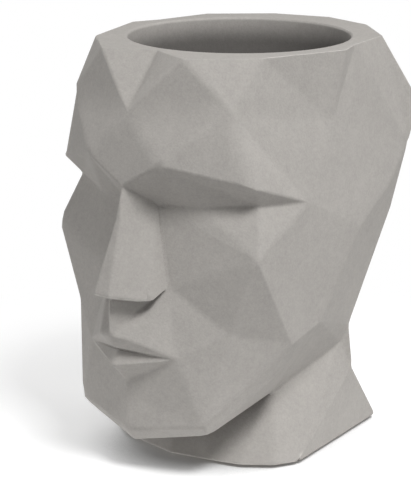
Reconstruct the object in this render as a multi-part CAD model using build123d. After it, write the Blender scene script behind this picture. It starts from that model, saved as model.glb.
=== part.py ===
from build123d import *
import math
import os

# Overall sizes of the casting, in millimetres
casting_height = 185.0
head_width = 123.0
head_depth = 174.0

# Bowl inside the head, above the solid neck
rim_wall = 6.0
bowl_draft_angle = 4.0
neck_solid_height = 67.5
bowl_corner_radius = 9.0
mouth_chamfer = 0.8
bowl_axis_share = 0.08

# Drain hole and its rubber stopper
drain_diameter = 12.0
stopper_clearance = 0.05
stopper_stem_length = 22.0
stopper_stem_chamfer = 1.5
stopper_flange_diameter = 24.0
stopper_flange_thickness = 3.0
stopper_flange_chamfer = 0.8
stopper_grip_neck_diameter = 7.0
stopper_grip_diameter = 11.0
stopper_grip_height = 9.0
stopper_grip_chamfer = 1.2

# Rubber feet pressed into sockets under the base
foot_diameter = 14.0
foot_show = 1.5
foot_socket_depth = 1.0
foot_socket_clearance = 0.1
foot_edge_chamfer = 0.5
foot_front_shares = (0.489, -0.2)
foot_rear_shares = (0.427, 0.5)

# Landmarks of the faceted head, chosen by hand: across as a share of half the width,
# fore and aft as a share of half the depth (face is minus), height as a share of the casting height
landmark_shares = {
    "rim_front": (0.0, -0.563, 1.0),
    "rim_front_corner": (0.375, -0.678, 1.0),
    "rim_side_front": (0.772, -0.418, 1.0),
    "rim_side": (1.0, 0.049, 1.0),
    "rim_side_notch": (0.914, 0.201, 1.0),
    "rim_rear_side": (0.829, 0.523, 1.0),
    "rim_rear_corner": (0.439, 0.77, 1.0),
    "rim_rear": (0.0, 0.855, 1.0),
    "hairline": (0.0, -0.795, 0.869),
    "forehead": (0.735, -0.612, 0.884),
    "temple": (0.94, -0.003, 0.83),
    "nose_root": (0.0, -0.837, 0.7),
    "brow_inner": (0.318, -0.83, 0.761),
    "brow_outer": (0.901, -0.578, 0.715),
    "brow_end": (0.969, -0.211, 0.656),
    "eye_inner": (0.153, -0.685, 0.652),
    "eye_mid": (0.463, -0.626, 0.651),
    "eye_outer": (0.829, -0.487, 0.664),
    "nose_bridge": (0.02, -0.867, 0.619),
    "nose_tip": (0.069, -1.0, 0.45),
    "nostril": (0.26, -0.839, 0.434),
    "nose_wing": (0.28, -0.717, 0.46),
    "lip_groove": (0.0, -0.938, 0.44),
    "lip_top": (0.0, -0.933, 0.349),
    "lip_peak": (0.13, -0.908, 0.345),
    "upper_lip": (0.0, -0.911, 0.321),
    "mouth_line": (0.0, -0.868, 0.312),
    "mouth_corner": (0.406, -0.756, 0.296),
    "lower_lip": (0.0, -0.913, 0.273),
    "lip_base": (0.0, -0.81, 0.227),
    "chin_ridge": (0.0, -0.803, 0.188),
    "chin_front": (0.0, -0.811, 0.104),
    "chin_corner": (0.583, -0.698, 0.136),
    "chin_under": (0.0, -0.754, 0.07),
    "chin_under_corner": (0.566, -0.649, 0.108),
    "cheek": (0.937, -0.587, 0.548),
    "cheek_hollow": (0.711, -0.607, 0.362),
    "jaw": (0.92, -0.294, 0.316),
    "jaw_under": (0.795, -0.33, 0.228),
    "jaw_angle": (0.917, -0.06, 0.347),
    "ear_low": (0.992, 0.2, 0.564),
    "ear_high": (0.941, 0.51, 0.644),
    "skull_side": (0.919, 0.779, 0.825),
    "skull_mid": (0.911, 0.695, 0.728),
    "skull_low": (0.853, 0.609, 0.568),
    "skull_rear": (0.0, 1.0, 0.79),
    "skull_rear_side": (0.51, 0.95, 0.78),
    "skull_under": (0.0, 0.92, 0.55),
    "skull_under_side": (0.458, 0.84, 0.54),
    "nape": (0.0, 0.61, 0.28),
    "nape_side": (0.39, 0.57, 0.275),
    "neck_top": (0.74, 0.36, 0.284),
    "neck_side": (0.699, 0.325, 0.241),
    "neck_crease": (0.738, 0.4, 0.171),
    "neck_rear": (0.0, 0.66, 0.155),
    "throat": (0.0, -0.356, 0.178),
    "throat_side": (0.598, -0.162, 0.161),
    "base_front": (0.0, -0.482, 0.0),
    "base_front_side": (0.351, -0.432, 0.0),
    "base_front_turn": (0.56, -0.393, 0.0),
    "base_front_corner": (0.765, -0.283, 0.0),
    "base_side": (0.846, -0.155, 0.0),
    "base_rear_corner": (0.644, 0.72, 0.0),
    "base_rear": (0.0, 0.75, 0.0),
}

# Order of the landmarks round the rim and round the base, front to rear
rim_names = ["rim_front", "rim_front_corner", "rim_side_front", "rim_side", "rim_side_notch",
             "rim_rear_side", "rim_rear_corner", "rim_rear"]
base_names = ["base_front", "base_front_side", "base_front_turn", "base_front_corner", "base_side",
              "base_rear_corner", "base_rear"]

# Facets of one side of the head; the other side is their mirror image
facet_names = [
    # forehead and temple
    ("rim_front", "hairline", "rim_front_corner"),
    ("rim_front_corner", "hairline", "forehead"),
    ("rim_front_corner", "forehead", "rim_side_front"),
    ("rim_side_front", "forehead", "temple"),
    ("rim_side_front", "temple", "rim_side"),
    ("hairline", "brow_inner", "forehead"),
    ("hairline", "nose_root", "brow_inner"),
    ("forehead", "brow_inner", "brow_outer"),
    ("forehead", "brow_outer", "brow_end"),
    ("forehead", "brow_end", "temple"),
    # eye socket and cheek
    ("nose_root", "eye_inner", "brow_inner"),
    ("brow_inner", "eye_inner", "eye_mid"),
    ("brow_inner", "eye_mid", "eye_outer"),
    ("brow_inner", "eye_outer", "brow_outer"),
    ("brow_outer", "eye_outer", "brow_end"),
    ("eye_inner", "cheek", "eye_mid"),
    ("eye_mid", "cheek", "eye_outer"),
    ("eye_outer", "cheek", "brow_end"),
    ("eye_inner", "nose_wing", "cheek"),
    ("nose_wing", "cheek_hollow", "cheek"),
    ("cheek", "cheek_hollow", "jaw"),
    ("cheek", "jaw", "jaw_angle"),
    ("brow_end", "cheek", "jaw_angle"),
    # nose
    ("nose_root", "nose_bridge", "eye_inner"),
    ("nose_bridge", "nostril", "eye_inner"),
    ("nose_bridge", "nose_tip", "nostril"),
    ("eye_inner", "nostril", "nose_wing"),
    ("nose_tip", "lip_groove", "nostril"),
    ("nostril", "lip_groove", "nose_wing"),
    # mouth and lower cheek
    ("lip_groove", "lip_top", "nose_wing"),
    ("lip_top", "lip_peak", "nose_wing"),
    ("nose_wing", "lip_peak", "mouth_corner"),
    ("nose_wing", "mouth_corner", "cheek_hollow"),
    ("cheek_hollow", "mouth_corner", "chin_corner"),
    ("cheek_hollow", "chin_corner", "jaw"),
    ("lip_top", "upper_lip", "lip_peak"),
    ("lip_peak", "upper_lip", "mouth_corner"),
    ("upper_lip", "mouth_line", "mouth_corner"),
    ("mouth_line", "lower_lip", "mouth_corner"),
    ("lower_lip", "lip_base", "mouth_corner"),
    # chin and jaw, with the narrow bevel under them
    ("lip_base", "chin_corner", "mouth_corner"),
    ("lip_base", "chin_ridge", "chin_corner"),
    ("chin_ridge", "chin_front", "chin_corner"),
    ("chin_front", "chin_under", "chin_under_corner"),
    ("chin_front", "chin_under_corner", "chin_corner"),
    ("chin_corner", "chin_under_corner", "jaw_under"),
    ("chin_corner", "jaw_under", "jaw"),
    ("jaw", "jaw_under", "jaw_angle"),
    # side of the head
    ("rim_side", "temple", "rim_side_notch"),
    ("rim_side_notch", "temple", "skull_mid"),
    ("rim_side_notch", "skull_mid", "rim_rear_side"),
    ("rim_rear_side", "skull_mid", "skull_side"),
    ("temple", "ear_high", "skull_mid"),
    ("temple", "ear_low", "ear_high"),
    ("temple", "brow_end", "ear_low"),
    ("brow_end", "jaw_angle", "ear_low"),
    ("ear_high", "skull_low", "skull_mid"),
    ("ear_high", "ear_low", "skull_low"),
    ("ear_low", "neck_top", "skull_low"),
    ("ear_low", "jaw_angle", "neck_top"),
    # back of the head
    ("rim_rear_side", "skull_side", "rim_rear_corner"),
    ("rim_rear_corner", "skull_side", "skull_rear_side"),
    ("rim_rear_corner", "skull_rear_side", "rim_rear"),
    ("rim_rear", "skull_rear_side", "skull_rear"),
    ("skull_side", "skull_mid", "skull_rear_side"),
    ("skull_mid", "skull_low", "skull_rear_side"),
    ("skull_rear_side", "skull_low", "skull_under_side"),
    ("skull_rear_side", "skull_under_side", "skull_rear"),
    ("skull_rear", "skull_under_side", "skull_under"),
    ("skull_low", "neck_top", "skull_under_side"),
    ("skull_under_side", "neck_top", "nape_side"),
    ("skull_under_side", "nape_side", "skull_under"),
    ("skull_under", "nape_side", "nape"),
    # under the jaw
    ("chin_under", "throat", "chin_under_corner"),
    ("chin_under_corner", "throat", "throat_side"),
    ("chin_under_corner", "throat_side", "jaw_under"),
    ("jaw_under", "throat_side", "jaw_angle"),
    ("jaw_angle", "throat_side", "neck_side"),
    ("jaw_angle", "neck_side", "neck_top"),
    # neck and base
    ("throat", "base_front", "base_front_side"),
    ("throat", "base_front_side", "throat_side"),
    ("throat_side", "base_front_side", "base_front_turn"),
    ("throat_side", "base_front_turn", "base_front_corner"),
    ("throat_side", "base_front_corner", "base_side"),
    ("throat_side", "base_side", "neck_side"),
    ("neck_side", "base_side", "neck_crease"),
    ("neck_side", "neck_crease", "neck_top"),
    ("neck_crease", "base_side", "base_rear_corner"),
    ("neck_top", "neck_crease", "nape_side"),
    ("nape_side", "neck_crease", "neck_rear"),
    ("nape_side", "neck_rear", "nape"),
    ("neck_crease", "base_rear_corner", "neck_rear"),
    ("neck_rear", "base_rear_corner", "base_rear"),
]

# Facets that cross the middle of the nose; "far" marks the mirrored landmark
crossing_facet_names = [
    ("nose_root", "far nose_bridge", "nose_bridge"),
    ("nose_bridge", "far nose_bridge", "far nose_tip", "nose_tip"),
    ("nose_tip", "far nose_tip", "lip_groove"),
]

# Sizes worked out from the ones above
base_level = foot_show
rim_level = base_level + casting_height
bowl_axis_y = bowl_axis_share * head_depth / 2
bowl_floor_level = base_level + neck_solid_height
bowl_depth = rim_level - bowl_floor_level


def landmark(name, side):
    """Place of a landmark on the near side (1) or the far side (-1)."""
    if name.startswith("far "):
        name = name[len("far "):]
        side = -side
    across, fore_aft, height = landmark_shares[name]
    return Vector(side * across * head_width / 2, fore_aft * head_depth / 2, base_level + height * casting_height)


def facet(points):
    """Flat face through a closed run of points."""
    return Face(Wire.make_polygon(points, close=True))


def outline(names):
    """Closed outline through landmarks of both sides, front to rear and back again."""
    near = [landmark(name, 1) for name in names]
    far = [landmark(name, -1) for name in reversed(names[1:-1])]
    return near + far


def distance_to_axis(start, end):
    """Shortest distance in plan from the bowl axis to the line between two points."""
    axis = Vector(0, bowl_axis_y)
    along = Vector(end.X - start.X, end.Y - start.Y)
    across = Vector(axis.X - start.X, axis.Y - start.Y)
    share = min(1, max(0, along.dot(across) / along.dot(along)))
    nearest = Vector(start.X, start.Y) + along * share
    return (nearest - axis).length


# Faceted casting, closed by the flat rim and the flat base
head_faces = []
for names in facet_names:
    head_faces.append(facet([landmark(name, 1) for name in names]))
    head_faces.append(facet([landmark(name, -1) for name in reversed(names)]))
for names in crossing_facet_names:
    head_faces.append(facet([landmark(name, 1) for name in names]))
head_faces.append(facet(outline(rim_names)))
head_faces.append(facet(outline(base_names)))
casting = Solid(Shell(head_faces))

# Bowl: the widest round mouth that leaves the rim wall everywhere, narrowing with the draft
rim_outline = outline(rim_names)
rim_inner_reach = min(
    distance_to_axis(start, end) for start, end in zip(rim_outline, rim_outline[1:] + rim_outline[:1])
)
mouth_radius = rim_inner_reach - rim_wall
floor_radius = mouth_radius - bowl_depth * math.tan(math.radians(bowl_draft_angle))
bowl_outline = Polyline(
    (0, bowl_floor_level),
    (floor_radius, bowl_floor_level),
    (mouth_radius, rim_level - mouth_chamfer),
    (mouth_radius + mouth_chamfer, rim_level),
    (mouth_radius + mouth_chamfer, rim_level + mouth_chamfer),
    (0, rim_level + mouth_chamfer),
    close=True,
)
bowl_section = make_face(bowl_outline)
floor_corner = bowl_section.vertices().sort_by_distance((floor_radius, bowl_floor_level))[0]
bowl_section = fillet(floor_corner, bowl_corner_radius)
bowl = revolve(Plane.XZ * bowl_section, Axis.Z)
casting -= Pos(0, bowl_axis_y, 0) * bowl

# Drain hole from the bowl floor down through the solid neck
drain_radius = drain_diameter / 2
drain = Cylinder(drain_radius, bowl_floor_level, align=(Align.CENTER, Align.CENTER, Align.MIN))
casting -= Pos(0, bowl_axis_y, 0) * drain

# Sockets for the feet
foot_places = {}
for end_name, (across, fore_aft) in (("front", foot_front_shares), ("rear", foot_rear_shares)):
    for side_name, side in (("left", -1), ("right", 1)):
        foot_places["foot_" + end_name + "_" + side_name] = Pos(
            side * across * head_width / 2, fore_aft * head_depth / 2, 0
        )
foot_radius = foot_diameter / 2
foot_height = foot_show + foot_socket_depth
socket = Cylinder(
    foot_radius + foot_socket_clearance, foot_height, align=(Align.CENTER, Align.CENTER, Align.MIN)
)
for place in foot_places.values():
    casting -= place * socket

# One foot: a plain rubber disc with its lower edge bevelled
foot = Cylinder(foot_radius, foot_height, align=(Align.CENTER, Align.CENTER, Align.MIN))
foot = chamfer(foot.edges().sort_by(Axis.Z)[0], foot_edge_chamfer)

# Stopper: tapered-end stem in the drain hole, flange on the bowl floor and a grip to pull it by
stem_radius = drain_radius - stopper_clearance
flange_radius = stopper_flange_diameter / 2
grip_neck_radius = stopper_grip_neck_diameter / 2
grip_radius = stopper_grip_diameter / 2
flange_top = stopper_flange_thickness
grip_middle = flange_top + stopper_grip_height / 2
grip_top = flange_top + stopper_grip_height
stopper_outline = Polyline(
    (0, -stopper_stem_length),
    (stem_radius - stopper_stem_chamfer, -stopper_stem_length),
    (stem_radius, stopper_stem_chamfer - stopper_stem_length),
    (stem_radius, 0),
    (flange_radius, 0),
    (flange_radius, flange_top),
    (grip_neck_radius, flange_top),
    (grip_neck_radius, grip_middle),
    (grip_radius, grip_middle),
    (grip_radius, grip_top),
    (0, grip_top),
    close=True,
)
stopper_section = make_face(stopper_outline)
flange_corner = stopper_section.vertices().sort_by_distance((flange_radius, flange_top))[0]
stopper_section = chamfer(flange_corner, stopper_flange_chamfer)
grip_corner = stopper_section.vertices().sort_by_distance((grip_radius, grip_top))[0]
stopper_section = chamfer(grip_corner, stopper_grip_chamfer)
stopper = Pos(0, bowl_axis_y, bowl_floor_level) * revolve(Plane.XZ * stopper_section, Axis.Z)

# Separate solids, one file each
os.makedirs("parts", exist_ok=True)
export_step(casting, "parts/planter_head.step")
export_step(stopper, "parts/drain_plug.step")
for name, place in foot_places.items():
    export_step(place * foot, "parts/" + name + ".step")
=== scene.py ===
import math

import bmesh
import bpy
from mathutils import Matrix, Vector


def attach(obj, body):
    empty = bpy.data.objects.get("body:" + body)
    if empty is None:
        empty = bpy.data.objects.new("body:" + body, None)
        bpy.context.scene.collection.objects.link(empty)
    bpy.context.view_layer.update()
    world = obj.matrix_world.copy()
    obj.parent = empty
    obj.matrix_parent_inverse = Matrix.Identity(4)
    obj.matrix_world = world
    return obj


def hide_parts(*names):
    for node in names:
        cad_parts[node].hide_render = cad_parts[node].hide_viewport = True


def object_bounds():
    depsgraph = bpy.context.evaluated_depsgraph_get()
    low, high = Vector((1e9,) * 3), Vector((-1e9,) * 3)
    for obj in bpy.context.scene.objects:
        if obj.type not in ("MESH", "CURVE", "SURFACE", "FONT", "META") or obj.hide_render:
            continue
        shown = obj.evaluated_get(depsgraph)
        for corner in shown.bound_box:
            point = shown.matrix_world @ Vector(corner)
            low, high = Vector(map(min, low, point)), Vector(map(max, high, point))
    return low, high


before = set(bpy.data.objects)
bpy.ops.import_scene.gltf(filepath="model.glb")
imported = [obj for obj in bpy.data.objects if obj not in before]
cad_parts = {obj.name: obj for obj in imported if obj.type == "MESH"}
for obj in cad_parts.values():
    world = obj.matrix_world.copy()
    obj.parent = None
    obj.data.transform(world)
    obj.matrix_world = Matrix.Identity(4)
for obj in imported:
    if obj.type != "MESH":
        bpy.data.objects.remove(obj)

cad_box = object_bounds()

# Camera, where the photograph was taken from: degrees, metres, and millimetres for the lens
camera_azimuth = 39.78
camera_elevation = 14.69
camera_distance = 0.97
camera_aim = Vector((0.0135, -0.0328, 0.0969))
camera_lens = 158.4
camera_clip_start = 0.01
camera_clip_end = 100.0

# Rounding of the casting's edges: width of the strip that bends, in metres, and edge angles in degrees
steep_edge_width = 0.0006
shallow_edge_width = 0.0024
crease_edge_width = 0.0014
faint_edge_width = 0.0005
rim_edge_width = 0.0005
base_edge_width = 0.0012
neck_edge_width = 0.002
steep_edge_angle = 70.0
shallow_edge_angle = 12.0
strip_area_share = 0.6
strip_rows = 4
corner_pull = 0.5

# Edges with their own width: rough ends on the right-hand side, width, and how near the ends must match
forehead_ridge = ((0.045, -0.053, 0.165), (0.055, -0.050, 0.134), 0.007)
forehead_bend = ((0.0, -0.069, 0.162), (0.045, -0.053, 0.165), 0.008)
brow_bend = ((0.0, -0.069, 0.162), (0.020, -0.072, 0.142), 0.004)
nose_base = ((0.004, -0.087, 0.085), (0.016, -0.073, 0.082), 0.0018)
nose_end = ((0.004, -0.087, 0.085), (0.004, -0.087, 0.085), 0.0018)
cheek_ridge = ((0.058, -0.051, 0.103), (0.057, -0.026, 0.060), 0.0008)
jaw_ridge = ((0.057, -0.026, 0.060), (0.056, -0.005, 0.066), 0.0008)
neck_ridge = ((0.052, -0.013, 0.0015), (0.043, 0.028, 0.046), 0.004)
neck_line = ((0.052, -0.013, 0.0015), (0.0454, 0.0348, 0.0331), 0.0004)
own_widths = [
    forehead_ridge, forehead_bend, brow_bend, nose_base, nose_end,
    cheek_ridge, jaw_ridge, neck_ridge, neck_line,
]
end_match = 0.004

# Round hollows of the casting, with the flat border round each: metres, degrees and shares of a length
hollow_edge_width = 0.0006
hollow_edge_angle = 25.0
hollow_edge_limit = 1 / 3
hollow_border = 0.0012
bowl_segments = 128
socket_segments = 48
socket_middle_share = 0.5

# Lamps: name, azimuth and elevation in degrees, size in metres, power in watts
lamp_distance = 1.5
lamps = [
    ("key", 67.0, 54.0, 0.45, 20.3),
    ("left_fill", -75.0, 3.0, 0.5, 6.0),
    ("rear_fill", 140.0, 25.0, 0.9, 6.0),
    ("front_fill", -20.0, 40.0, 0.9, 3.8),
]
world_strength = 0.04
white_level = 1.0

# Floor: shade, glow near the object that lights it, lift for the camera that painted contact shade takes
# away near the object, and where the shadow fades
floor_half = 4.0
floor_shade = 0.6
floor_glow = 0.48
floor_lift = 0.63
painted_contact_shade_reach = 0.09
painted_contact_shade_closed = 0.2
painted_contact_shade_open = 0.72
shadow_reach = 0.1
white_reach = 0.26
occlusion_samples = 8

# Names of the mesh values that tell ridges from creases, and the depth inside the bowl
bend_name = "edge_bend"
depth_name = "bowl_depth"

# Concrete: tones from dark to light and of worn ridges, and what painted shade leaves of them in recesses,
# sharp creases and the bowl
concrete_dark = (0.3185, 0.303, 0.285, 1)
concrete_light = (0.458, 0.436, 0.4115, 1)
worn_tone = (0.6, 0.575, 0.545, 1)
painted_recess_shade = (0.49, 0.487, 0.483, 1)
painted_crease_shade = (0.5, 0.495, 0.49, 1)
painted_bowl_shade = (0.33, 0.328, 0.327, 1)

# Concrete pattern: size of the features in metres, detail of the noise, and weight in the tone
cloud_size, cloud_detail, cloud_weight = 0.045, 3, 0.4
blotch_size, blotch_detail, blotch_weight = 0.009, 4, 0.4
speck_size, speck_detail, speck_weight = 0.0024, 2, 0.45
grain_size, grain_detail, grain_weight = 0.0009, 3, 1.0
grain_roughness = 0.7
middle_tone = 0.5

# Where painted shade darkens the concrete and where it is worn: reach and depth in metres, openness up to
# one, bend as a mesh value
painted_shade_reach = 0.03
painted_recess_start, painted_recess_full = 0.8, 0.3
painted_crease_start, painted_crease_full = -0.25, -0.8
painted_crease_open, painted_crease_closed = 0.88, 0.68
wear_start, wear_full = 0.7, 1.15
wear_size, wear_detail, wear_weight = 0.004, 3, 0.5
painted_bowl_shade_depth = 0.012

# Concrete skin: weights in its relief, strength and depth of the bumps in metres, roughness and gloss
blotch_relief, grain_relief = 0.3, 0.7
skin_bump, skin_depth = 0.35, 0.0004
skin_roughness, blotch_dullness, grain_dullness = 0.85, 0.2, 0.1
skin_gloss = 0.3

# Rubber: shades, sizes of dust and grain in metres with detail and weight, bumps in metres, and roughness
stopper_shade = 0.05
foot_shade = 0.04
dust_size, dust_detail, dust_weight = 0.004, 4, 0.8
mould_size, mould_detail, mould_weight = 0.0004, 2, 0.4
rubber_dark = (0.6, 0.6, 0.6)
rubber_dusty = (1.5, 1.5, 1.45)
rubber_bump, rubber_depth = 0.2, 0.0002
rubber_roughness, dust_dullness = 0.62, 0.25

# Tolerances for reading the casting's mesh: metres, degrees, and digits of a metre
weld_distance = 0.000001
level_tolerance = 0.00001
flat_angle = 0.3
profile_digits = 5


def direction(azimuth, elevation):
    """Direction from the object: azimuth from the front of the face to its right side, and elevation."""
    a, e = math.radians(azimuth), math.radians(elevation)
    return Vector((math.sin(a) * math.cos(e), -math.cos(a) * math.cos(e), math.sin(e)))


def degrees_between(first, second):
    """Angle between two directions, in degrees."""
    return math.degrees(first.angle(second))


def islands(mesh):
    """Groups of connected vertices."""
    groups = []
    seen = set()
    for start in mesh.verts:
        if start in seen:
            continue
        seen.add(start)
        group = [start]
        for vert in group:
            for edge in vert.link_edges:
                other = edge.other_vert(vert)
                if other not in seen:
                    seen.add(other)
                    group.append(other)
        groups.append(group)
    return groups


def own_width(edge):
    """Strip width of an edge that has one of its own, on either side of the face, or none."""
    ends = [Vector((abs(vert.co.x), vert.co.y, vert.co.z)) for vert in edge.verts]
    for first, last, width in own_widths:
        for near, far in (ends, ends[::-1]):
            if max((near - Vector(first)).length, (far - Vector(last)).length) < end_match:
                return width
    return None


def edge_width(edge, bottom, top):
    """Width of the strip at an edge: narrow on steep ridges, wider on shallow ones and in creases."""
    width = own_width(edge)
    if width:
        return width
    heights = [vert.co.z for vert in edge.verts]
    if min(heights) > top - level_tolerance:
        return rim_edge_width
    if max(heights) < bottom + level_tolerance:
        return base_edge_width
    if min(heights) < bottom + level_tolerance:
        return neck_edge_width
    if edge_bend(edge) < 0:
        return crease_edge_width
    angle = math.degrees(edge.calc_face_angle())
    if angle < shallow_edge_angle:
        return faint_edge_width
    share = (angle - shallow_edge_angle) / (steep_edge_angle - shallow_edge_angle)
    return shallow_edge_width + min(1, share) * (steep_edge_width - shallow_edge_width)


def limited_widths(face, bottom, top):
    """Strip widths along a facet's edges, narrowed alike where the facet is too small for them."""
    widths = [edge_width(loop.edge, bottom, top) for loop in face.loops]
    covered = sum(width * loop.edge.calc_length() for width, loop in zip(widths, face.loops))
    # Strips that meet in the middle of a facet cover twice its area
    room = strip_area_share * 2 * face.calc_area()
    scale = min(1, room / covered)
    return [width * scale for width in widths]


def inner_corner(before, corner, after, width_before, width_after, normal):
    """Point inside a flat corner, at the given distances from the edge before it and the edge after it."""
    inward_before = normal.cross(corner - before).normalized()
    inward_after = normal.cross(after - corner).normalized()
    overlap = inward_before.dot(inward_after)
    spread = 1 - overlap * overlap
    reach_before = (width_before - overlap * width_after) / spread
    reach_after = (width_after - overlap * width_before) / spread
    return corner + inward_before * reach_before + inward_after * reach_after


def edge_bend(edge):
    """Bend of the surface at an edge as a share of a right angle: plus at a ridge, minus in a crease."""
    return max(-1.0, min(1.0, math.degrees(edge.calc_face_angle_signed()) / 90))


def inner_faces(cast, faces, bottom, top):
    """The flat middle that the strips leave of each face: its corner for each corner of the face."""
    inner = {}
    for face in faces:
        loops = list(face.loops)
        widths = limited_widths(face, bottom, top)
        for index, loop in enumerate(loops):
            before = loops[index - 1].vert.co
            after = loops[(index + 1) % len(loops)].vert.co
            point = inner_corner(before, loop.vert.co, after, widths[index - 1], widths[index], face.normal)
            inner[face, loop.vert] = cast.verts.new(point)
    return inner


def bent(first, pull, last, share):
    """Point at a share of the way along the curve between two points that a third one pulls out."""
    rest = 1 - share
    return first * rest ** 2 + pull * (2 * share * rest) + last * share ** 2


def strip_row(cast, edge, vert, inner):
    """Points over a rounded edge near one of its ends, from the middle of one face to that of the other."""
    bend = cast.verts.layers.float[bend_name]
    first, last = (inner[face, vert] for face in edge.link_faces)
    along = (edge.other_vert(vert).co - vert.co).normalized()
    ridge = vert.co + along * along.dot((first.co + last.co) / 2 - vert.co)
    row = [first]
    for step in range(1, strip_rows):
        share = step / strip_rows
        point = cast.verts.new(bent(first.co, ridge, last.co, share))
        point[bend] = 4 * share * (1 - share) * edge_bend(edge)
        row.append(point)
    return row + [last]


def corner_ring(vert, rows):
    """Closed run of points round a rounded corner, strip by strip."""
    ring = []
    loop = start = vert.link_loops[0]
    while True:
        row = rows[loop.edge, vert]
        ring += row[:-1] if loop.edge.link_faces[0] is loop.face else row[:0:-1]
        loop = loop.link_loop_radial_next.link_loop_next
        if loop is start:
            return ring


def round_shell(cast, faces, open_faces, bottom, top):
    """Faces of the shell with rounded edges and corners; returns the outlines left for the open faces."""
    bend = cast.verts.layers.float[bend_name]
    inner = inner_faces(cast, faces, bottom, top)
    edges = {edge for face in faces for edge in face.edges}
    edges = sorted(edges, key=lambda edge: edge.index)
    verts = sorted({vert for edge in edges for vert in edge.verts}, key=lambda vert: vert.index)
    for face in faces:
        if face not in open_faces:
            cast.faces.new([inner[face, vert] for vert in face.verts])
    rows = {(edge, vert): strip_row(cast, edge, vert, inner) for edge in edges for vert in edge.verts}
    for edge in edges:
        near, far = (rows[edge, vert] for vert in edge.verts)
        for index in range(strip_rows):
            cast.faces.new((near[index], near[index + 1], far[index + 1], far[index]))
    for vert in verts:
        ring = corner_ring(vert, rows)
        average = sum((point.co for point in ring), Vector()) / len(ring)
        tip = cast.verts.new(vert.co.lerp(average, corner_pull))
        sharpest = sorted((edge_bend(edge) for edge in vert.link_edges), key=abs)[-2:]
        tip[bend] = sum(sharpest) / len(sharpest)
        for index in range(len(ring)):
            cast.faces.new((ring[index - 1], ring[index], tip))
    return [[inner[face, vert] for vert in face.verts] for face in open_faces]


def add_ring(cast, centre, radius, height, segments):
    """Round ring of vertices."""
    ring = []
    for index in range(segments):
        turn = 2 * math.pi / segments * index
        x = centre.x + radius * math.cos(turn)
        y = centre.y + radius * math.sin(turn)
        ring.append(cast.verts.new((x, y, height)))
    return ring


def join_rings(cast, first, second):
    """Band of faces between two rings of as many vertices."""
    for index in range(len(first)):
        cast.faces.new((first[index - 1], first[index], second[index], second[index - 1]))


def loop_edges(cast, ring):
    """Edges along a closed run of vertices, made where there are none yet."""
    pairs = [(ring[index - 1], ring[index]) for index in range(len(ring))]
    return [cast.edges.get(pair) or cast.edges.new(pair) for pair in pairs]


def read_profile(group, centre):
    """Radius and height of each round ring in a group of vertices."""
    rings = set()
    for vert in group:
        radius = (vert.co.xy - centre.xy).length
        rings.add((round(radius, profile_digits), round(vert.co.z, profile_digits)))
    return rings


def round_end(corner, other):
    """Where the small round at a corner of a profile ends, towards the point beside it."""
    run = other - corner
    return corner + run.normalized() * min(hollow_edge_width, run.length * hollow_edge_limit)


def rounded_profile(profile):
    """Profile with each sharp corner replaced by a small round."""
    points = [Vector(point) for point in profile]
    result = [points[0]]
    for before, corner, after in zip(points, points[1:], points[2:]):
        if degrees_between(corner - before, after - corner) < hollow_edge_angle:
            result.append(corner)
            continue
        start, end = round_end(corner, before), round_end(corner, after)
        result += [bent(start, corner, end, step / strip_rows) for step in range(strip_rows + 1)]
    result.append(points[-1])
    return result


def add_hollow(cast, centre, profile, segments):
    """Round hollow along a profile of radius and height; returns its rings."""
    rounded = rounded_profile(profile)
    rings = [add_ring(cast, centre, radius, height, segments) for radius, height in rounded]
    for first, second in zip(rings, rings[1:]):
        join_rings(cast, first, second)
    return rings


def fill_flat(cast, loops, normal):
    """Flat face between an outline and the holes in it."""
    edges = [edge for loop in loops for edge in loop_edges(cast, loop)]
    bmesh.ops.triangle_fill(cast, use_beauty=True, use_dissolve=False, edges=edges, normal=normal)


def at_level(vert, level):
    """Whether a vertex lies at that height."""
    return abs(vert.co.z - level) < level_tolerance


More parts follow.
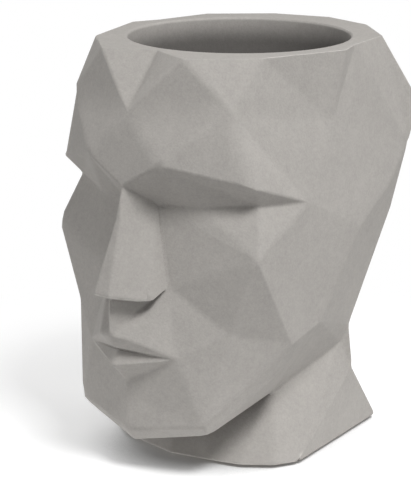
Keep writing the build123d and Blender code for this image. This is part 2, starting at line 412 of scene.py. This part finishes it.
def rounded_casting(node):
    """The casting with its edges rounded: its flat facets, rim, bowl, drain hole, base and foot sockets."""
    source = bmesh.new()
    source.from_mesh(node.data)
    bmesh.ops.remove_doubles(source, verts=source.verts, dist=weld_distance)
    top = max(vert.co.z for vert in source.verts)
    bottom = min(vert.co.z for vert in source.verts)

    # Without the flat rim and base, the outer shell, the bowl with its drain, and each socket are apart
    flat = [
        face for face in source.faces
        if any(all(at_level(vert, level) for vert in face.verts) for level in (top, bottom))
    ]
    bmesh.ops.delete(source, geom=flat, context="FACES")
    groups = islands(source)
    shell = min(groups, key=lambda group: min(vert.co.y for vert in group))
    hollows = [group for group in groups if group is not shell]
    bowl = max(hollows, key=lambda group: max(vert.co.z for vert in group))
    sockets = [group for group in hollows if group is not bowl]
    mouth = [vert.co for vert in bowl if at_level(vert, top)]
    centre = sum(mouth, Vector()) / len(mouth)

    # Facets of the shell, closed by a plain rim and base
    shell_verts = set(shell)
    shell_edges = [edge for edge in source.edges if edge.verts[0] in shell_verts]
    bmesh.ops.dissolve_limit(
        source, angle_limit=math.radians(flat_angle), use_dissolve_boundaries=False,
        verts=shell, edges=shell_edges,
    )
    ends = []
    for level in (top, bottom):
        outline = [vert for vert in shell if vert.is_valid and at_level(vert, level)]
        outline.sort(key=lambda vert: math.atan2(vert.co.y - centre.y, vert.co.x - centre.x))
        ends.append(source.faces.new(outline if level == top else outline[::-1]))
    source.normal_update()
    source.verts.index_update()
    source.edges.index_update()
    faces = [face for face in source.faces if face.verts[0] in shell_verts]
    cast = bmesh.new()
    cast.verts.layers.float.new(bend_name)
    cast.verts.layers.float.new(depth_name)
    depth = cast.verts.layers.float[depth_name]
    rim, base = round_shell(cast, faces, ends, bottom, top)

    # Bowl and drain, with a strip of the rim and of the base round their ends
    up = Vector((0, 0, 1))
    profile = sorted(read_profile(bowl, centre), key=lambda ring: (-ring[1], -ring[0]))
    profile.insert(0, (profile[0][0] + hollow_border, top))
    profile.append((profile[-1][0] + hollow_border, bottom))
    bowl_rings = add_hollow(cast, centre, profile, bowl_segments)
    fill_flat(cast, [rim, bowl_rings[0]], up)

    # Depth below the rim, which the material turns into painted shade in the bowl, but not on the last two
    # rings, which show on the base
    for ring in bowl_rings[:-2]:
        for vert in ring:
            vert[depth] = top - vert.co.z

    # Foot sockets
    socket_rings = []
    for group in sockets:
        middle = sum((vert.co for vert in group), Vector()) / len(group)
        profile = sorted(read_profile(group, middle), key=lambda ring: ring[1])
        profile.insert(0, (profile[0][0] + hollow_border, bottom))
        profile.append((profile[-1][0] * socket_middle_share, profile[-1][1]))
        rings = add_hollow(cast, middle, profile, socket_segments)
        cast.faces.new(rings[-1])
        socket_rings.append(rings[0])
    fill_flat(cast, [base, bowl_rings[-1]] + socket_rings, -up)
    bmesh.ops.recalc_face_normals(cast, faces=cast.faces)
    mesh = bpy.data.meshes.new("planter_casting")
    cast.to_mesh(mesh)
    cast.free()
    source.free()
    return mesh


def shade_by_area(mesh):
    """Smooth shading in which the large flat faces count most, so that only the narrow strips look bent."""
    mesh.shade_smooth()
    normals = [Vector() for vert in mesh.vertices]
    for face in mesh.polygons:
        share = face.normal * face.area
        for index in face.vertices:
            normals[index] += share
    mesh.normals_split_custom_set_from_vertices([normal.normalized() for normal in normals])


# Nodes of a material
def add_node(tree, kind, settings=None, inputs=None):
    """New node with its settings and its inputs, which are values or other nodes' outputs."""
    node = tree.nodes.new(kind)
    for name, value in (settings or {}).items():
        setattr(node, name, value)
    for name, value in (inputs or {}).items():
        if isinstance(value, bpy.types.NodeSocket):
            tree.links.new(value, node.inputs[name])
        else:
            node.inputs[name].default_value = value
    return node


def start_material(name):
    """New material with an empty node tree and its output."""
    material = bpy.data.materials.new(name)
    material.use_nodes = True
    tree = material.node_tree
    tree.nodes.clear()
    output = add_node(tree, "ShaderNodeOutputMaterial")
    return material, tree, output


def noise_value(tree, place, size, detail, roughness=0.5):
    """Noise whose features are about that size, in metres."""
    return add_node(
        tree, "ShaderNodeTexNoise", None,
        {"Vector": place, "Scale": 1 / size, "Detail": detail, "Roughness": roughness},
    ).outputs["Fac"]


def weighted_sum(tree, terms, start):
    """Sum of values, each times its weight, counted from the middle of its range."""
    total = start
    for value, weight in terms:
        scaled = add_node(tree, "ShaderNodeMath", {"operation": "MULTIPLY_ADD"})
        tree.links.new(value, scaled.inputs[0])
        scaled.inputs[1].default_value = weight
        if isinstance(total, float):
            scaled.inputs[2].default_value = total - weight / 2
        else:
            shifted = add_node(tree, "ShaderNodeMath", {"operation": "ADD"})
            tree.links.new(total, shifted.inputs[0])
            shifted.inputs[1].default_value = -weight / 2
            tree.links.new(shifted.outputs[0], scaled.inputs[2])
        total = scaled.outputs[0]
    return total


def mesh_value(tree, name):
    """Value stored at the points of the mesh."""
    return add_node(tree, "ShaderNodeAttribute", {"attribute_name": name}).outputs["Fac"]


def ramp(tree, value, start, end):
    """Value taken smoothly from zero at the start to one at the end."""
    return add_node(
        tree, "ShaderNodeMapRange", {"interpolation_type": "SMOOTHSTEP"},
        {"Value": value, "From Min": start, "From Max": end},
    ).outputs["Result"]


def blend(tree, share, first, second, way="MIX"):
    """Colour between two colours, or between the first and both multiplied."""
    settings = {"data_type": "RGBA", "blend_type": way}
    return add_node(tree, "ShaderNodeMix", settings, {0: share, 6: first, 7: second}).outputs[2]


def concrete():
    """Fine cast concrete: cloudy tone, sand grain, pale worn ridges, and painted shade in recesses, creases
    and the bowl.
    """
    material, tree, output = start_material("cast_concrete")
    place = add_node(tree, "ShaderNodeTexCoord").outputs["Object"]
    clouds = noise_value(tree, place, cloud_size, cloud_detail)
    blotches = noise_value(tree, place, blotch_size, blotch_detail)
    specks = noise_value(tree, place, speck_size, speck_detail)
    grain = noise_value(tree, place, grain_size, grain_detail, grain_roughness)
    coarse = [(clouds, cloud_weight), (blotches, blotch_weight)]
    fine = [(specks, speck_weight), (grain, grain_weight)]
    tone = weighted_sum(tree, coarse + fine, middle_tone)
    plain = blend(tree, tone, concrete_dark, concrete_light)

    # Painted shade darkens recesses and creases, and ridges are worn pale in broken lines
    openness = add_node(
        tree, "ShaderNodeAmbientOcclusion", {"samples": occlusion_samples, "only_local": True},
        {"Distance": painted_shade_reach},
    ).outputs["AO"]
    painted_recess_share = ramp(tree, openness, painted_recess_start, painted_recess_full)
    colour = blend(tree, painted_recess_share, plain, painted_recess_shade, "MULTIPLY")
    # Painted shade along creases that are sharply folded and closed in
    bend = mesh_value(tree, bend_name)
    folded = ramp(tree, bend, painted_crease_start, painted_crease_full)
    closed = ramp(tree, openness, painted_crease_open, painted_crease_closed)
    painted_crease_share = add_node(tree, "ShaderNodeMath", {"operation": "MULTIPLY"}, {0: folded, 1: closed})
    colour = blend(tree, painted_crease_share.outputs[0], colour, painted_crease_shade, "MULTIPLY")
    breaks = weighted_sum(tree, [(noise_value(tree, place, wear_size, wear_detail), wear_weight)], 0.0)
    worn = add_node(tree, "ShaderNodeMath", {"operation": "ADD"}, {0: breaks, 1: bend})
    colour = blend(tree, ramp(tree, worn.outputs[0], wear_start, wear_full), colour, worn_tone)
    # Painted shade in the bowl, darker with depth below the rim
    bowl = blend(tree, 1.0, plain, painted_bowl_shade, "MULTIPLY")
    colour = blend(tree, ramp(tree, mesh_value(tree, depth_name), 0, painted_bowl_shade_depth), colour, bowl)

    # Sand grain and shallow unevenness of the skin
    relief = weighted_sum(tree, [(blotches, blotch_relief), (grain, grain_relief)], middle_tone)
    bump = add_node(
        tree, "ShaderNodeBump", None, {"Height": relief, "Strength": skin_bump, "Distance": skin_depth}
    )
    roughness = weighted_sum(tree, [(blotches, blotch_dullness), (grain, grain_dullness)], skin_roughness)
    shader = add_node(
        tree, "ShaderNodeBsdfPrincipled", None,
        {
            "Base Color": colour,
            "Roughness": roughness,
            "Normal": bump.outputs["Normal"],
            "Specular IOR Level": skin_gloss,
        },
    )
    tree.links.new(shader.outputs["BSDF"], output.inputs["Surface"])
    return material


def rubber(name, shade):
    """Moulded black rubber with a dusty bloom and a fine grain."""
    material, tree, output = start_material(name)
    place = add_node(tree, "ShaderNodeTexCoord").outputs["Object"]
    dust = noise_value(tree, place, dust_size, dust_detail)
    grain = noise_value(tree, place, mould_size, mould_detail)
    tone = weighted_sum(tree, [(dust, dust_weight), (grain, mould_weight)], middle_tone)
    colour = add_node(tree, "ShaderNodeValToRGB", None, {"Fac": tone})
    for element, tint in zip(colour.color_ramp.elements, (rubber_dark, rubber_dusty)):
        element.color = [share * shade for share in tint] + [1]
    bump = add_node(
        tree, "ShaderNodeBump", None, {"Height": grain, "Strength": rubber_bump, "Distance": rubber_depth}
    )
    roughness = weighted_sum(tree, [(dust, dust_dullness)], rubber_roughness)
    shader = add_node(
        tree, "ShaderNodeBsdfPrincipled", None,
        {"Base Color": colour.outputs["Color"], "Roughness": roughness, "Normal": bump.outputs["Normal"]},
    )
    tree.links.new(shader.outputs["BSDF"], output.inputs["Surface"])
    return material


def seen_directly(tree):
    """One for rays straight from the camera, mirrored or through glass, and zero for rays that light."""
    path = add_node(tree, "ShaderNodeLightPath")
    seen = path.outputs["Is Camera Ray"]
    for name in ("Is Glossy Ray", "Is Transmission Ray"):
        added = {0: seen, 1: path.outputs[name]}
        seen = add_node(tree, "ShaderNodeMath", {"operation": "ADD", "use_clamp": True}, added).outputs[0]
    return seen


def pale_floor():
    """Pale floor that glows a little near the object, lighting it, and that the camera sees turn white
    farther out, with painted contact shade near the object.
    """
    material, tree, output = start_material("pale_floor")
    place = add_node(tree, "ShaderNodeNewGeometry")
    reach = add_node(
        tree, "ShaderNodeVectorMath", {"operation": "DISTANCE"},
        {0: place.outputs["Position"], 1: (0, 0, 0)},
    )
    fade = ramp(tree, reach.outputs["Value"], shadow_reach, white_reach)
    lit = add_node(tree, "ShaderNodeBsdfDiffuse", None, {"Color": (floor_shade,) * 3 + (1,)})
    seen = seen_directly(tree)
    # Painted contact shade: the camera's lift to white drops where the object closes in the floor
    openness = add_node(
        tree, "ShaderNodeAmbientOcclusion", {"samples": occlusion_samples}, {"Distance": painted_contact_shade_reach}
    ).outputs["AO"]
    lift = add_node(
        tree, "ShaderNodeMath", {"operation": "MULTIPLY"},
        {0: ramp(tree, openness, painted_contact_shade_closed, painted_contact_shade_open), 1: floor_lift},
    )
    level = add_node(
        tree, "ShaderNodeMapRange", None,
        {"Value": seen, "To Min": floor_glow, "To Max": lift.outputs[0]},
    )
    glow = add_node(tree, "ShaderNodeEmission", None, {"Strength": level.outputs["Result"]})
    near = add_node(tree, "ShaderNodeAddShader", None, {0: lit.outputs[0], 1: glow.outputs[0]})
    white = add_node(tree, "ShaderNodeEmission", None, {"Strength": white_level})
    far = add_node(tree, "ShaderNodeMixShader", None, {0: seen, 1: lit.outputs[0], 2: white.outputs[0]})
    both = add_node(tree, "ShaderNodeMixShader", None, {0: fade, 1: near.outputs[0], 2: far.outputs[0]})
    clear = add_node(tree, "ShaderNodeBsdfTransparent")
    upper = add_node(
        tree, "ShaderNodeMixShader", None,
        {0: place.outputs["Backfacing"], 1: both.outputs[0], 2: clear.outputs[0]},
    )
    tree.links.new(upper.outputs[0], output.inputs["Surface"])
    return material


# The casting
casting_mesh = rounded_casting(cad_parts["planter_head"])
shade_by_area(casting_mesh)
casting_mesh.materials.append(concrete())
casting = bpy.data.objects.new("planter_casting", casting_mesh)
bpy.context.scene.collection.objects.link(casting)
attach(casting, "planter")
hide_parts("planter_head")

# Rubber pieces keep their CAD shapes
stopper_rubber = rubber("stopper_rubber", stopper_shade)
foot_rubber = rubber("foot_rubber", foot_shade)
for name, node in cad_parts.items():
    if name != "planter_head":
        node.data.materials.clear()
        node.data.materials.append(stopper_rubber if name == "drain_plug" else foot_rubber)

# Floor
floor_mesh = bpy.data.meshes.new("floor")
floor_signs = [(-1, -1), (1, -1), (1, 1), (-1, 1)]
floor_corners = [(x * floor_half, y * floor_half, 0) for x, y in floor_signs]
floor_mesh.from_pydata(floor_corners, [], [(0, 1, 2, 3)])
floor_mesh.materials.append(pale_floor())
floor = bpy.data.objects.new("floor", floor_mesh)
bpy.context.scene.collection.objects.link(floor)

# Light
middle = (cad_box[0] + cad_box[1]) / 2
for name, azimuth, elevation, size, power in lamps:
    lamp_data = bpy.data.lights.new(name, "AREA")
    lamp_data.shape = "DISK"
    lamp_data.size = size
    lamp_data.energy = power
    lamp = bpy.data.objects.new(name, lamp_data)
    towards = direction(azimuth, elevation)
    lamp.location = middle + towards * lamp_distance
    lamp.rotation_mode = "QUATERNION"
    lamp.rotation_quaternion = (-towards).to_track_quat("-Z", "Y")
    bpy.context.scene.collection.objects.link(lamp)

world = bpy.data.worlds.new("studio")
bpy.context.scene.world = world
world.use_nodes = True
tree = world.node_tree
tree.nodes.clear()
level = add_node(
    tree, "ShaderNodeMapRange", None,
    {"Value": seen_directly(tree), "To Min": world_strength, "To Max": white_level},
)
background = add_node(
    tree, "ShaderNodeBackground", None, {"Color": (1, 1, 1, 1), "Strength": level.outputs[0]}
)
world_output = add_node(tree, "ShaderNodeOutputWorld")
tree.links.new(background.outputs[0], world_output.inputs["Surface"])

# Camera
camera_data = bpy.data.cameras.new("camera")
camera_data.lens = camera_lens
camera_data.clip_start = camera_clip_start
camera_data.clip_end = camera_clip_end
camera = bpy.data.objects.new("camera", camera_data)
back = direction(camera_azimuth, camera_elevation)
camera.location = camera_aim + back * camera_distance
camera.rotation_mode = "QUATERNION"
camera.rotation_quaternion = (-back).to_track_quat("-Z", "Y")
bpy.context.scene.collection.objects.link(camera)
bpy.context.scene.camera = camera
bpy.context.scene.view_settings.view_transform = "Standard"
